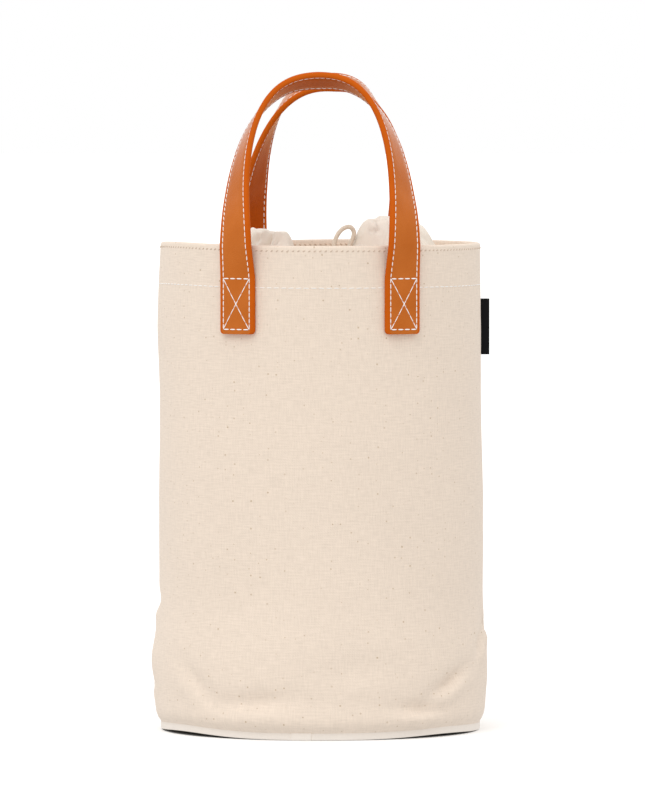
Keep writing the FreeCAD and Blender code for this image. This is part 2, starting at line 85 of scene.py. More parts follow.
# A crease has a raised lip under it: its height as a share of the depth, and its place in half widths.
LIP_SHARE, LIP_PLACE = 0.45, 2.0
SWELLS = (
    # azimuth, height, half length, half width, how far it stands out
    (180, 275, 55, 42, 2.0),
    (180, 48, 30, 11, 1.5),
    (270, 9, 190, 11, 4.6),
    (0, 135, 60, 70, 1.1),
)
UNEVEN = (
    # how far the cloth wavers all over, and how finely
    (0.55, 1.7),
    (0.16, 6.0),
)
NOISE_PER_METRE = 9
FOOT_LIFTS = (
    # azimuth, reach round the wall, height
    (213, 44, 2.3),
    (322, 42, 1.7),
    (70, 60, 1.2),
    (135, 50, 1.0),
)
RIM_WAVES = ((140, 62, -2.8), (205, 60, 1.5))
waves_from = 0.75 * rim_height
HELD_BELOW, FREE_ABOVE = 2 * MM, 4 * MM


def woven_cloth():
    """Warp and weft threads, uneven yarn and seed flecks: the colour and the relief of a cloth."""
    group = bpy.data.node_groups.new("woven cloth", "ShaderNodeTree")
    sockets = group.interface
    sockets.new_socket("Cloth", in_out="INPUT", socket_type="NodeSocketVector")
    for name, value in (("Thread", 0.9 * MM), ("Fleck", 0.5), ("Slub", 0.06)):
        sockets.new_socket(name, in_out="INPUT", socket_type="NodeSocketFloat").default_value = value
    for name, colour in (("Yarn", (0.8, 0.7, 0.6, 1)), ("Seed", (0.42, 0.29, 0.15, 1))):
        sockets.new_socket(name, in_out="INPUT", socket_type="NodeSocketColor").default_value = colour
    sockets.new_socket("Color", in_out="OUTPUT", socket_type="NodeSocketColor")
    sockets.new_socket("Height", in_out="OUTPUT", socket_type="NodeSocketFloat")
    tree = group.nodes
    link = group.links.new
    given = tree.new("NodeGroupInput")
    made = tree.new("NodeGroupOutput")

    def calc(operation, a, b=0.0):
        """A math node on two sockets or numbers."""
        node = tree.new("ShaderNodeMath")
        node.operation = operation
        for socket, value in zip(node.inputs, (a, b)):
            if isinstance(value, (int, float)):
                socket.default_value = value
            else:
                link(value, socket)
        return node.outputs[0]

    per_thread = tree.new("ShaderNodeVectorMath")
    per_thread.operation = "DIVIDE"
    link(given.outputs["Cloth"], per_thread.inputs[0])
    link(given.outputs["Thread"], per_thread.inputs[1])
    threads = tree.new("ShaderNodeSeparateXYZ")
    link(per_thread.outputs[0], threads.inputs[0])
    across, along = threads.outputs["X"], threads.outputs["Y"]
    weft_share = 0.7
    warp = calc("ABSOLUTE", calc("SINE", calc("MULTIPLY", across, math.pi)))
    weft = calc("ABSOLUTE", calc("SINE", calc("MULTIPLY", along, math.pi)))
    over = calc("PINGPONG", calc("ADD", across, along), 1.0)
    weave = calc("ADD", calc("MULTIPLY", warp, over), calc("MULTIPLY", weft, weft_share))

    def yarn_noise(across_scale, along_scale):
        """Noise that is drawn out along one way of the cloth."""
        stretch = tree.new("ShaderNodeMapping")
        stretch.inputs["Scale"].default_value = (across_scale, along_scale, 1)
        link(given.outputs["Cloth"], stretch.inputs["Vector"])
        uneven = tree.new("ShaderNodeTexNoise")
        uneven.inputs["Scale"].default_value = 1.0
        uneven.inputs["Detail"].default_value = 2.0
        link(stretch.outputs[0], uneven.inputs["Vector"])
        return uneven.outputs["Fac"]

    slub_fine, slub_long, cloud, cloud_depth = 980, 120, 16, 0.05
    slubs = calc("ADD", yarn_noise(slub_fine, slub_long), yarn_noise(slub_long, slub_fine))
    clouds = calc("MULTIPLY", calc("SUBTRACT", yarn_noise(cloud, cloud), 0.5), cloud_depth)
    tone = calc("MULTIPLY", calc("SUBTRACT", slubs, 1.0), given.outputs["Slub"])
    tone = calc("ADD", calc("ADD", tone, clouds), 1.0)
    shade = tree.new("ShaderNodeVectorMath")
    shade.operation = "SCALE"
    link(given.outputs["Yarn"], shade.inputs[0])
    link(tone, shade.inputs["Scale"])

    flecks_per_metre, bare_share, fleck_size, fleck_spread = 165.0, 0.66, 0.05, 0.055
    specks = tree.new("ShaderNodeTexVoronoi")
    specks.voronoi_dimensions = "2D"
    specks.inputs["Scale"].default_value = flecks_per_metre
    link(given.outputs["Cloth"], specks.inputs["Vector"])
    pick = tree.new("ShaderNodeSeparateColor")
    link(specks.outputs["Color"], pick.inputs[0])
    chosen = calc("GREATER_THAN", pick.outputs["Red"], bare_share)
    reach = calc("ADD", calc("MULTIPLY", pick.outputs["Green"], fleck_spread), fleck_size)
    inside_speck = calc("LESS_THAN", specks.outputs["Distance"], reach)
    faint = calc("MULTIPLY", pick.outputs["Blue"], given.outputs["Fleck"])
    fleck = calc("MULTIPLY", calc("MULTIPLY", chosen, inside_speck), faint)
    flecked = tree.new("ShaderNodeMix")
    flecked.data_type = "RGBA"
    link(fleck, flecked.inputs["Factor"])
    link(shade.outputs[0], flecked.inputs["A"])
    link(given.outputs["Seed"], flecked.inputs["B"])
    link(flecked.outputs["Result"], made.inputs["Color"])

    weave_relief, slub_relief = 0.3, 1.3
    relief = calc("ADD", calc("MULTIPLY", weave, weave_relief), calc("MULTIPLY", slubs, slub_relief))
    link(relief, made.inputs["Height"])
    return group


weave_group = woven_cloth()


def cloth_material(name, yarn, thread, fleck, slub, depth, on_uv=True):
    """A cloth of one yarn, its weave along the piece's UV map or, for a plain piece, its own place."""
    material = bpy.data.materials.new(name)
    material.use_nodes = True
    tree = material.node_tree
    shader = tree.nodes["Principled BSDF"]
    shader.inputs["Roughness"].default_value = 0.92
    shader.inputs["Specular IOR Level"].default_value = 0.18
    shader.inputs["Sheen Weight"].default_value = 0.15
    shader.inputs["Sheen Roughness"].default_value = 0.6
    place = tree.nodes.new("ShaderNodeUVMap" if on_uv else "ShaderNodeTexCoord")
    cloth = tree.nodes.new("ShaderNodeGroup")
    cloth.node_tree = weave_group
    cloth.inputs["Thread"].default_value = thread
    cloth.inputs["Fleck"].default_value = fleck
    cloth.inputs["Slub"].default_value = slub
    cloth.inputs["Yarn"].default_value = (*yarn, 1)
    tree.links.new(place.outputs["UV" if on_uv else "Object"], cloth.inputs["Cloth"])
    relief = tree.nodes.new("ShaderNodeBump")
    relief.inputs["Strength"].default_value = depth
    relief.inputs["Distance"].default_value = 0.3 * MM
    tree.links.new(cloth.outputs["Height"], relief.inputs["Height"])
    tree.links.new(relief.outputs["Normal"], shader.inputs["Normal"])
    tree.links.new(cloth.outputs["Color"], shader.inputs["Base Color"])
    return material


def ease(value, start, end):
    """Nought below the start, one above the end, and a smooth step between them."""
    share = min(1.0, max(0.0, (value - start) / (end - start)))
    return share * share * (3 - 2 * share)


def evenly(start, end, steps):
    """Values from start to end in equal steps, both included."""
    return [start + (end - start) * i / steps for i in range(steps + 1)]


def arc_radius(depth, half_chord):
    """Radius of an arc that is so deep over half of its chord."""
    return (depth**2 + half_chord**2) / (2 * depth)


def plain_wall(z):
    """Radius of the wall's outer face before its dents: a foot, a bulge, a waist and a straight rise."""
    if z > WAIST_HEIGHT:
        return WAIST_RADIUS + (RIM_RADIUS - WAIST_RADIUS) * (z - WAIST_HEIGHT) / (rim_height - WAIST_HEIGHT)
    if z > BULGE_HEIGHT:
        bend = arc_radius((BULGE_RADIUS - WAIST_RADIUS) / 2, (WAIST_HEIGHT - BULGE_HEIGHT) / 2)
        if z > (WAIST_HEIGHT + BULGE_HEIGHT) / 2:
            return WAIST_RADIUS + bend - math.sqrt(bend**2 - (z - WAIST_HEIGHT) ** 2)
        return BULGE_RADIUS - bend + math.sqrt(bend**2 - (z - BULGE_HEIGHT) ** 2)
    foot = arc_radius(BULGE_RADIUS - FOOT_RADIUS, BULGE_HEIGHT - foot_height)
    return BULGE_RADIUS - foot + math.sqrt(foot**2 - (max(z, foot_height) - BULGE_HEIGHT) ** 2)


def arc_from(azimuth, turn):
    """Millimetres round the wall from an azimuth in degrees."""
    return math.radians((math.degrees(azimuth) - turn + 180) % 360 - 180) * BULGE_RADIUS / MM


def humps(azimuth, rows):
    """Height of the soft humps round the wall that the rows list, in metres."""
    return MM * sum(
        height * math.exp(-((arc_from(azimuth, turn) / reach) ** 2)) for turn, reach, height in rows
    )


def lift(azimuth):
    """How far the edge of the base stands off the floor: a little at the left and right of the front."""
    return humps(azimuth, FOOT_LIFTS)


def settle(azimuth, z):
    """How far the cloth is moved up: its lifted foot, and the rim's sag at the back and rise in front."""
    foot = lift(azimuth) * max(0.0, 1 - z / BULGE_HEIGHT)
    return foot + humps(azimuth, RIM_WAVES) * ease(z, waves_from, rim_height)


def slack(azimuth, z):
    """How far the canvas stands out of its plain shape, in metres."""
    free = ease(z, foot_height - HELD_BELOW, foot_height + FREE_ABOVE)
    place = Vector((math.cos(azimuth), math.sin(azimuth), NOISE_PER_METRE * z))
    out = sum(stand * noise.noise(place * fineness) for stand, fineness in UNEVEN)
    for turn, height, length, width, slope, depth in CREASES:
        along = arc_from(azimuth, turn)
        up = z / MM - height
        tilt = math.radians(slope)
        a = (along * math.cos(tilt) + up * math.sin(tilt)) / length
        b = (up * math.cos(tilt) - along * math.sin(tilt)) / width
        out -= depth * math.exp(-a * a - b * b)
        out += LIP_SHARE * depth * math.exp(-a * a - (b + LIP_PLACE) ** 2)
    for turn, height, length, width, stand in SWELLS:
        a = arc_from(azimuth, turn) / length
        b = (z / MM - height) / width
        out += stand * math.exp(-a * a - b * b)
    groove = (z - (rim_height - TOPSTITCH_DROP)) / GROOVE_WIDTH
    return (out * MM - GROOVE_DEPTH * math.exp(-groove * groove)) * free


def wall_point(azimuth, z, proud=0.0):
    """A point on the wall's outer face, or that far in front of it."""
    r = plain_wall(z) + slack(azimuth, z) + proud
    return Vector((r * math.cos(azimuth), r * math.sin(azimuth), z + settle(azimuth, z)))


def spin_outline(bm, outline, start, angle, steps, closed=False):
    """Turn an outline of (radius, height) points round the middle of the bag."""
    verts = [bm.verts.new((r, 0, z)) for r, z in outline]
    following = verts[1:] + verts[:1] if closed else verts[1:]
    edges = [bm.edges.new(pair) for pair in zip(verts, following)]
    bmesh.ops.rotate(bm, verts=verts, matrix=Matrix.Rotation(start, 3, "Z"))
    bmesh.ops.spin(
        bm,
        geom=verts + edges,
        axis=(0, 0, 1),
        cent=(0, 0, 0),
        angle=angle,
        steps=steps,
        use_merge=angle == FULL_TURN,
    )


def lay_cloth(bm, radius, inward=False):
    """A UV map in metres: the way round at one radius by the height, and by the way in where asked."""
    cloth = bm.loops.layers.uv.new("cloth")
    for face in bm.faces:
        middle = face.calc_center_median()
        facing = math.atan2(middle.y, middle.x)
        for loop in face.loops:
            place = loop.vert.co
            azimuth = math.atan2(place.y, place.x)
            azimuth += FULL_TURN * round((facing - azimuth) / FULL_TURN)
            up = place.z + math.hypot(place.x, place.y) if inward else place.z
            loop[cloth].uv = (azimuth * radius, up)


def dent(bm):
    """Move a plain tube of cloth out and in by the wall's slack."""
    for v in bm.verts:
        azimuth = math.atan2(v.co.y, v.co.x)
        r = math.hypot(v.co.x, v.co.y)
        grow = (r + slack(azimuth, v.co.z)) / r
        v.co = (v.co.x * grow, v.co.y * grow, v.co.z + settle(azimuth, v.co.z))


def finished_piece(name, bm, *materials):
    """The object of a finished mesh, smooth and in its place."""
    mesh = bpy.data.meshes.new(name)
    bm.to_mesh(mesh)
    bm.free()
    mesh.shade_smooth()
    for material in materials:
        mesh.materials.append(material)
    piece = bpy.data.objects.new(name, mesh)
    bpy.context.collection.objects.link(piece)
    return piece


def thicken(piece, cloth, thickness, offset=0):
    """Give a single sheet the thickness of its cloth."""
    wall = piece.modifiers.new(cloth, "SOLIDIFY")
    wall.thickness = thickness
    wall.offset = offset


def canvas_panel(name, start, material):
    """Half of the wall with its hem: an outline turned half round, then moved out and in by the slack."""
    fold = HEM_GAP / 2
    fold_height = rim_height - fold - CANVAS / 2
    outline = [(plain_wall(z) - CANVAS / 2, z) for z in evenly(PANEL_LOW, fold_height, WALL_ROWS)]
    middle = outline[-1][0] - fold
    for turn in evenly(0, math.pi, FOLD_STEPS)[1:-1]:
        outline.append((middle + fold * math.cos(turn), fold_height + fold * math.sin(turn)))
    for z in evenly(fold_height, rim_height - HEM_DEPTH + CANVAS / 2, HEM_ROWS):
        outline.append((plain_wall(z) - CANVAS / 2 - HEM_GAP, z))
    bm = bmesh.new()
    spin_outline(bm, outline, start, math.pi, HALF_ROUND_STEPS)
    bmesh.ops.recalc_face_normals(bm, faces=bm.faces)
    lay_cloth(bm, RIM_RADIUS)
    dent(bm)
    panel = finished_piece(name, bm, material)
    thicken(panel, "canvas", CANVAS)
    return panel


canvas = cloth_material(
    "natural canvas", yarn=(0.80, 0.675, 0.56), thread=0.85 * MM, fleck=0.65, slub=0.19, depth=0.45
)
for name, node, start in (("front_canvas", "front_panel", math.pi), ("back_canvas", "back_panel", 0.0)):
    panel = canvas_panel(name, start, canvas)
    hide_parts(node)
    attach(panel, "bag")


# Sewing on the wall: a beige topstitch that holds the rolled rim, and a white row at the depth of the hem.
# Each stitch is a short length of cotton thread that dips into the cloth at both ends.
RIM_PITCH, RIM_STITCH, RIM_THREAD, RIM_SLANT = 3.6 * MM, 2.0 * MM, 1.0 * MM, 0.5
HEM_PITCH, HEM_STITCH, HEM_THREAD = 5.0 * MM, 4.3 * MM, 0.6 * MM
STITCH_PROUD = 0.08 * MM
SLANT_VARIES, SLANT_STEP = 0.06, 37.0


def plain_material(name, colour):
    """Thread or board: one colour, with a slight sheen."""
    material = bpy.data.materials.new(name)
    material.use_nodes = True
    shader = material.node_tree.nodes["Principled BSDF"]
    shader.inputs["Base Color"].default_value = (*colour, 1)
    shader.inputs["Roughness"].default_value = 0.6
    shader.inputs["Sheen Weight"].default_value = 0.2
    return material


bm = bmesh.new()
bmesh.ops.create_uvsphere(bm, u_segments=6, v_segments=5, radius=1)
bead = bpy.data.meshes.new("bead")
bm.to_mesh(bead)
bm.free()


def add_stitch(bm, place, along, out, length, thickness):
    """One stitch, a bead of thread that lies along a direction with its back to the cloth."""
    side = along.cross(out).normalized()
    along = out.cross(side).normalized()
    turn = Matrix((side, out, along)).transposed().to_4x4()
    turn.translation = place
    stitch = bead.copy()
    stitch.transform(turn @ Matrix.Diagonal((thickness / 2, thickness / 2, length / 2, 1)))
    bm.from_mesh(stitch)
    bpy.data.meshes.remove(stitch)


def wall_row(name, height, pitch, length, thickness, slant, material):
    """A row of stitches round the wall, with its under side on the turned-in hem."""
    bm = bmesh.new()
    count = round(FULL_TURN * RIM_RADIUS / pitch)
    for i in range(count):
        azimuth = FULL_TURN * i / count
        out = Vector((math.cos(azimuth), math.sin(azimuth), 0))
        rise = slant + SLANT_VARIES * math.sin(SLANT_STEP * i)
        along = Vector((-math.sin(azimuth), math.cos(azimuth), rise))
        for proud in (STITCH_PROUD, -CANVAS - HEM_GAP - STITCH_PROUD):
            add_stitch(bm, wall_point(azimuth, height, proud), along, out, length, thickness)
    row = finished_piece(name, bm, material)
    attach(row, "bag")


beige_thread = plain_material("beige thread", (0.60, 0.47, 0.36))
white_thread = plain_material("white thread", (0.93, 0.92, 0.90))
topstitch_height = rim_height - TOPSTITCH_DROP
wall_row("rim_topstitch", topstitch_height, RIM_PITCH, RIM_STITCH, RIM_THREAD, RIM_SLANT, beige_thread)
wall_row("hem_stitching", rim_height - HEM_DEPTH, HEM_PITCH, HEM_STITCH, HEM_THREAD, 0.0, white_thread)


# Binding: cotton tape folded round the raw edges of wall and base and sewn through them.
# Its ends lap over each other near the front, and the bag stands on it.
TAPE_PROUD, TAPE_WIDTH, TAPE_SLOPE, TAPE_ROUND = 2.45 * MM, 4.6 * MM, 1.3 * MM, 0.7 * MM
LAP_AZIMUTH, LAP_ANGLE, LAP_RISE = math.radians(264.2), math.radians(7.4), 0.8 * MM
SHARP_ANGLE = 0.9
TAPE_STEPS, LAP_STEPS = 240, 8
binding_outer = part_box("base_panel")[1].x + TAPE_PROUD


def bound_edge(bm, outer, start, angle, steps):
    """A length of folded tape round the foot, with closed ends where it doesn't go all the way."""
    inner = outer - TAPE_WIDTH
    outline = ((outer, 0), (outer, foot_height), (inner, foot_height - TAPE_SLOPE), (inner, 0))
    spin_outline(bm, outline, start, angle, steps, closed=True)
    bmesh.ops.holes_fill(bm, edges=[e for e in bm.edges if e.is_boundary])


bm = bmesh.new()
bound_edge(bm, binding_outer, 0.0, FULL_TURN, TAPE_STEPS)
bound_edge(bm, binding_outer + LAP_RISE, LAP_AZIMUTH - LAP_ANGLE / 2, LAP_ANGLE, LAP_STEPS)
bmesh.ops.recalc_face_normals(bm, faces=bm.faces)
folds = [e for e in bm.edges if len(e.link_faces) == 2 and e.calc_face_angle() > SHARP_ANGLE]
bmesh.ops.bevel(
    bm,
    geom=folds,
    offset=TAPE_ROUND,
    affect="EDGES",
    segments=3,
    profile=0.5,
    material=-1,
    clamp_overlap=True,
)
lay_cloth(bm, binding_outer)
for v in bm.verts:
    v.co.z += lift(math.atan2(v.co.y, v.co.x))
tape = cloth_material(
    "binding tape", yarn=(0.86, 0.78, 0.70), thread=0.6 * MM, fleck=0.0, slub=0.06, depth=0.45
)
binding = finished_piece("base_binding_tape", bm, tape)
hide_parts("base_binding")
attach(binding, "bag")


# Base: a disc of the same canvas with its edge turned down into the binding, hollow underneath.
# The edge is sewn in with the foot of the wall and lifts off the floor where that does.
base_low, base_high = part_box("base_panel")
BASE_TURN, BASE_INSET, LIFTED_EDGE, BASE_STEPS = 8 * MM, 0.6 * MM, 2 * MM, 180
WELD = 1e-7
bm = bmesh.new()
outline = (
    (0.0, base_high.z),
    (base_high.x - BASE_TURN, base_high.z),
    (base_high.x - BASE_INSET, base_high.z - BASE_INSET),
    (base_high.x - BASE_INSET, base_low.z),
)
spin_outline(bm, outline, 0.0, FULL_TURN, BASE_STEPS)
bmesh.ops.remove_doubles(bm, verts=bm.verts, dist=WELD)
bmesh.ops.recalc_face_normals(bm, faces=bm.faces)
for v in bm.verts:
    if math.hypot(v.co.x, v.co.y) > base_high.x - LIFTED_EDGE:
        v.co.z += lift(math.atan2(v.co.y, v.co.x))
base_cloth = cloth_material(
    "base canvas", yarn=(0.80, 0.675, 0.55), thread=0.9 * MM, fleck=0.5, slub=0.08, depth=0.5, on_uv=False
)
base = finished_piece("base_canvas", bm, base_cloth)
thicken(base, "canvas", CANVAS, offset=-1)
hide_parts("base_panel")
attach(base, "bag")


# Inside: a cotton lining on the wall and the base, a stiffener board, and a padded cross for the bottles.
# The lining is caught in the hem and follows the dents of the canvas; the rest stays as it was built.
LINING, LINING_GAP, LINING_DROP = 0.6 * MM, 0.15 * MM, 6 * MM
LINING_ROWS, LINING_STEPS = 80, 220
plain_cotton = dict(thread=0.7 * MM, slub=0.06, depth=0.35, on_uv=False)
lining = cloth_material("lining cotton", yarn=(0.80, 0.66, 0.525), fleck=0.2, **plain_cotton)
pad = cloth_material("divider cotton", yarn=(0.82, 0.725, 0.60), fleck=0.1, **plain_cotton)
board = plain_material("stiffener board", (0.75, 0.725, 0.675))
bm = bmesh.new()
levels = evenly(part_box("wall_lining")[0].z, rim_height - LINING_DROP, LINING_ROWS)
outline = [(plain_wall(z) - CANVAS - LINING_GAP - LINING / 2, z) for z in levels]
spin_outline(bm, outline, 0.0, FULL_TURN, LINING_STEPS)
bmesh.ops.recalc_face_normals(bm, faces=bm.faces)
dent(bm)
tube = finished_piece("lining_tube", bm, lining)
thicken(tube, "cotton", LINING)
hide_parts("wall_lining")
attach(tube, "bag")


def dress(node, material):
    """Put a material on a piece that stays as it was built."""
    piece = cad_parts[node]
    piece.data.materials.clear()
    piece.data.materials.append(material)


dress("base_lining", lining)
dress("divider_across", pad)
dress("divider_deep", pad)
dress("base_board", board)


# Label: a bare black tape folded in half, with its ends caught in the right side seam.
# It stands out from the wall below the hem and has no sheen.
label_tape = cloth_material(
    "black label tape",
    yarn=(0.005, 0.005, 0.006),
    thread=0.4 * MM,
    fleck=0.0,
    slub=0.1,
    depth=0.3,
    on_uv=False,
)
label_tape.node_tree.nodes["Principled BSDF"].inputs["Sheen Weight"].default_value = 0.0
dress("side_label", label_tape)


# Collar: light cotton sewn inside the hem and drawn up by the cord in the casing along its edge.
# It stands in a puff at each side, is drawn low at the front and the back, and taut at the far right.
COLLAR_CLOTH, CASING = 0.6 * MM, 5.6 * MM
COLLAR_INSET, CASING_INSET = 1.6 * MM, 6 * MM
collar_foot = (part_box("collar_skirt")[1].x - COLLAR_INSET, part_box("collar_skirt")[0].z)
casing_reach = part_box("collar_casing")[1].y - CASING_INSET
casing_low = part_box("collar_casing")[0].z + CASING_INSET
CASING_SQUEEZE, CASING_SWELL = 0.05, 0.10
CASING_LEAN, CASING_WRAP = math.radians(55), math.radians(340)
PUFFS = (
    # side, height, where beside the middle it starts and ends in front, and how these shift at the back
    (1, 30.3, 15, 32.5, -12, 12),
    (-1, 21.5, 12, 21, -10, 21),
)
# How the cloth's curve leaves the hem and comes to the casing, out and up in millimetres: at the left,
# what is added towards the full right side, and what is added where that is taut.
LEAVE = ((-19, 8), (11, 10), (-11, -12))
COME = ((12, -18), (2, 18), (0, 6))
TAUT_POWER = 8
GATHERS, GATHER_WANDER, GATHER_DEPTH, DEPTH_VARIES = 15, 2.75, 0.65, 0.5
FOLD_UP, FOLD_OUT, LUMP = 3.2 * MM, 0.8, 3.4 * MM
WRINKLE_DEPTH, WRINKLE_BAND, WRINKLE_FADE = 2.6 * MM, 0.2, 6
# Noises of the cloth: how fine they are round the bag and up the cloth, and the level they are read at.
WANDER_NOISE, DEPTH_NOISE = (2.3, 0, 0.4), (4, 0, 3.1)
LUMP_NOISE, WRINKLE_NOISE = (4.5, 2.5, 7.0), (7, 4.0, 2.0)
COLLAR_ROWS, CASING_ROWS, COLLAR_STEPS = 28, 14, 360


def round_noise(azimuth, kind, up=0.0):
    """Noise that closes on itself round the bag."""
    fine_round, fine_up, level = kind
    place = (fine_round * math.cos(azimuth), fine_round * math.sin(azimuth), fine_up * up + level)
    return noise.noise(Vector(place))


def pucker_at(azimuth):
    """Gathers round the collar, uneven in width and depth."""
    wander = GATHER_WANDER * round_noise(azimuth, WANDER_NOISE)
    depth = GATHER_DEPTH + DEPTH_VARIES * round_noise(azimuth, DEPTH_NOISE)
    return depth * (2 * abs(math.sin(GATHERS * azimuth + wander)) - 1)


def casing_middle(azimuth):
    """Middle of the casing as (radius, height); its puffs end steeply in front and softly at the back."""
    x = casing_reach * math.cos(azimuth)
    back = 0.5 + 0.5 * math.sin(azimuth)
    rise = 0.0
    for side, height, start, end, start_shift, end_shift in PUFFS:
        start += start_shift * back
        end += end_shift * back
        rise += height * MM * ease(side * x, start * MM, end * MM)
    return casing_reach * (1 - CASING_SQUEEZE * math.cos(2 * azimuth)), casing_low + rise


def collar_section(azimuth):
    """The cloth from the hem up over its puff, then once round the cord, as (radius, height) points."""
    pucker = pucker_at(azimuth)
    r, z = casing_middle(azimuth)
    tube = CASING * (1 + CASING_SWELL * pucker)
    head = (r + tube * math.cos(CASING_LEAN), z + tube * math.sin(CASING_LEAN))
    full = 0.5 + 0.5 * math.cos(azimuth)
    taut = full**TAUT_POWER
    leave = [p + MM * (a + b * full + c * taut) for p, a, b, c in zip(collar_foot, *LEAVE)]
    come = [p + MM * (a + b * full + c * taut) for p, a, b, c in zip(head, *COME)]
    points = []
    for t in evenly(0, 1, COLLAR_ROWS)[:-1]:
        u = 1 - t
        shares = (u**3, 3 * u * u * t, 3 * u * t * t, t**3)
        x, y = (sum(s * p[k] for s, p in zip(shares, (collar_foot, leave, come, head))) for k in (0, 1))
        fold = FOLD_UP * pucker * t * t
        lump = LUMP * t * round_noise(azimuth, LUMP_NOISE, t)
        wrinkle = max(0.0, 1 - abs(round_noise(azimuth, WRINKLE_NOISE, t)) / WRINKLE_BAND)
        lump -= WRINKLE_DEPTH * t * (1 - t**WRINKLE_FADE) * wrinkle
        points.append((x + FOLD_OUT * fold + lump, y + fold + lump))
    for turn in evenly(CASING_LEAN, CASING_LEAN + CASING_WRAP, CASING_ROWS):
        points.append((r + tube * math.cos(turn), z + tube * math.sin(turn)))
    return points


bm = bmesh.new()
sections = [collar_section(azimuth) for azimuth in evenly(0, FULL_TURN, COLLAR_STEPS)[:-1]]
up_steps = len(sections[0]) - 1
bmesh.ops.create_grid(bm, x_segments=COLLAR_STEPS, y_segments=up_steps, size=1)
for v in bm.verts:
    i = round((v.co.x + 1) / 2 * COLLAR_STEPS)
    j = round((v.co.y + 1) / 2 * up_steps)
    r, z = sections[i % COLLAR_STEPS][j]
    v.co = Matrix.Rotation(FULL_TURN * i / COLLAR_STEPS, 3, "Z") @ Vector((r, 0, z))
bmesh.ops.remove_doubles(bm, verts=bm.verts, dist=WELD)
bmesh.ops.recalc_face_normals(bm, faces=bm.faces)
lay_cloth(bm, collar_foot[0], inward=True)
cotton = cloth_material(
    "collar cotton", yarn=(0.83, 0.755, 0.66), thread=0.5 * MM, fleck=0.15, slub=0.05, depth=0.3
)
collar = finished_piece("gathered_collar", bm, cotton)
thicken(collar, "cotton", COLLAR_CLOTH)
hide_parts("collar_skirt", "collar_casing")
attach(collar, "bag")


# Drawstring: a limp cotton cord that runs round inside the casing; a bight of it stands out at the front.
# The bight's feet stay in the buttonhole while the rest of it is drawn up.
CORD, LOOP_LENGTH = 3.0 * MM, 63 * MM
RING_POINTS = 60
LOOP_ROUTE = (
    (8.77, -51.96, 308.05),
    (9.07, -51.96, 324.05),
    (12.97, -51.66, 334.65),
    (20.37, -50.76, 338.65),
    (24.17, -49.56, 333.25),
    (19.82, -49.47, 324.84),
    (18.82, -49.87, 310.84),
)
cord_cotton = cloth_material(
    "cord cotton", yarn=(0.75, 0.66, 0.55), thread=0.8 * MM, fleck=0.0, slub=0.1, depth=0.6, on_uv=False
)


def cord_piece(name, route, closed):
    """A cord along a route as a mesh, and the line that its middle follows."""
    curve = bpy.data.curves.new(name, "CURVE")
    curve.dimensions = "3D"
    curve.resolution_u = 16
    curve.bevel_depth = CORD / 2
    curve.bevel_resolution = 5
    strand = curve.splines.new("NURBS")
    strand.points.add(len(route) - 1)
    for point, place in zip(strand.points, route):
        point.co = (*place, 1)
    strand.order_u = 3
    strand.use_cyclic_u = closed
    strand.use_endpoint_u = not closed
    curve.use_fill_caps = True
    strung = bpy.data.objects.new(name, curve)
    bpy.context.collection.objects.link(strung)
    tube = bpy.data.meshes.new_from_object(strung.evaluated_get(bpy.context.evaluated_depsgraph_get()))
    curve.bevel_depth = 0
    line = bpy.data.meshes.new_from_object(strung.evaluated_get(bpy.context.evaluated_depsgraph_get()))
    path = [list(v.co) for v in line.vertices]
    bpy.data.meshes.remove(line)
    bpy.data.objects.remove(strung)
    bpy.data.curves.remove(curve)
    tube.name = name
    tube.materials.append(cord_cotton)
    tube.shade_smooth()
    piece = bpy.data.objects.new(name, tube)
    bpy.context.collection.objects.link(piece)
    return piece, path


ring_route = []
for turn in evenly(0, FULL_TURN, RING_POINTS)[:-1]:
    r, z = casing_middle(turn)
    ring_route.append((r * math.cos(turn), r * math.sin(turn), z))
cord_ring, _ = cord_piece("drawstring_round", ring_route, True)
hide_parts("drawstring_in_casing")
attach(cord_ring, "bag")
loop_route = [[c * MM for c in place] for place in LOOP_ROUTE]
loop_cord, loop_path = cord_piece("drawstring_bight", loop_route, False)
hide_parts("drawstring_loop")
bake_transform(loop_cord)


# Handles: two straps of tan leather, each of two layers glued and sewn back to back, with painted edges.
# A strap is sewn flat to the wall in a boxed cross, twists as it leaves the wall and stands in an arch.
# It bends at the rim, where it goes over from the bag to the swinging handle.
STRAP_WIDTH, STRAP_THICKNESS, EDGE_ROUND = 26 * MM, 3.6 * MM, 1.1 * MM
TAB_LENGTH, TAB_TOP_DROP, TAB_CORNER, TAB_GAP = 36.6 * MM, 21.8 * MM, 2.6 * MM, 0.15 * MM
tab_reach = plain_wall(rim_height - TAB_TOP_DROP - TAB_LENGTH) + TAB_GAP + STRAP_THICKNESS / 2
ARCH_HEIGHT, ARCH_FULLNESS, TWIST_POWER, LEAN_RUN = 115.9 * MM, 2.54, 1.23, 40 * MM
ARCH_STEPS, STRAP_STEPS, EDGE_STEPS, FIT_ROUNDS = 240, 150, 6, 8
PRESS_START, PRESS_END, PRESS_SHARE = 20 * MM, 85 * MM, 0.6
HANDLES = {
    # in degrees: the tabs beside the middle, the arch's lean, yaw and sway, and the turn round the bag;
    # press is how far the left shoulder is pushed in
    "front": dict(tab_angle=30.0, lean=20.9, yaw=-2.1, sway=-0.8, turn=0.85, press=0.0),
    "rear": dict(tab_angle=27.5, lean=22.5, yaw=4.6, sway=-3.6, turn=178.6, press=3.6 * MM),
}


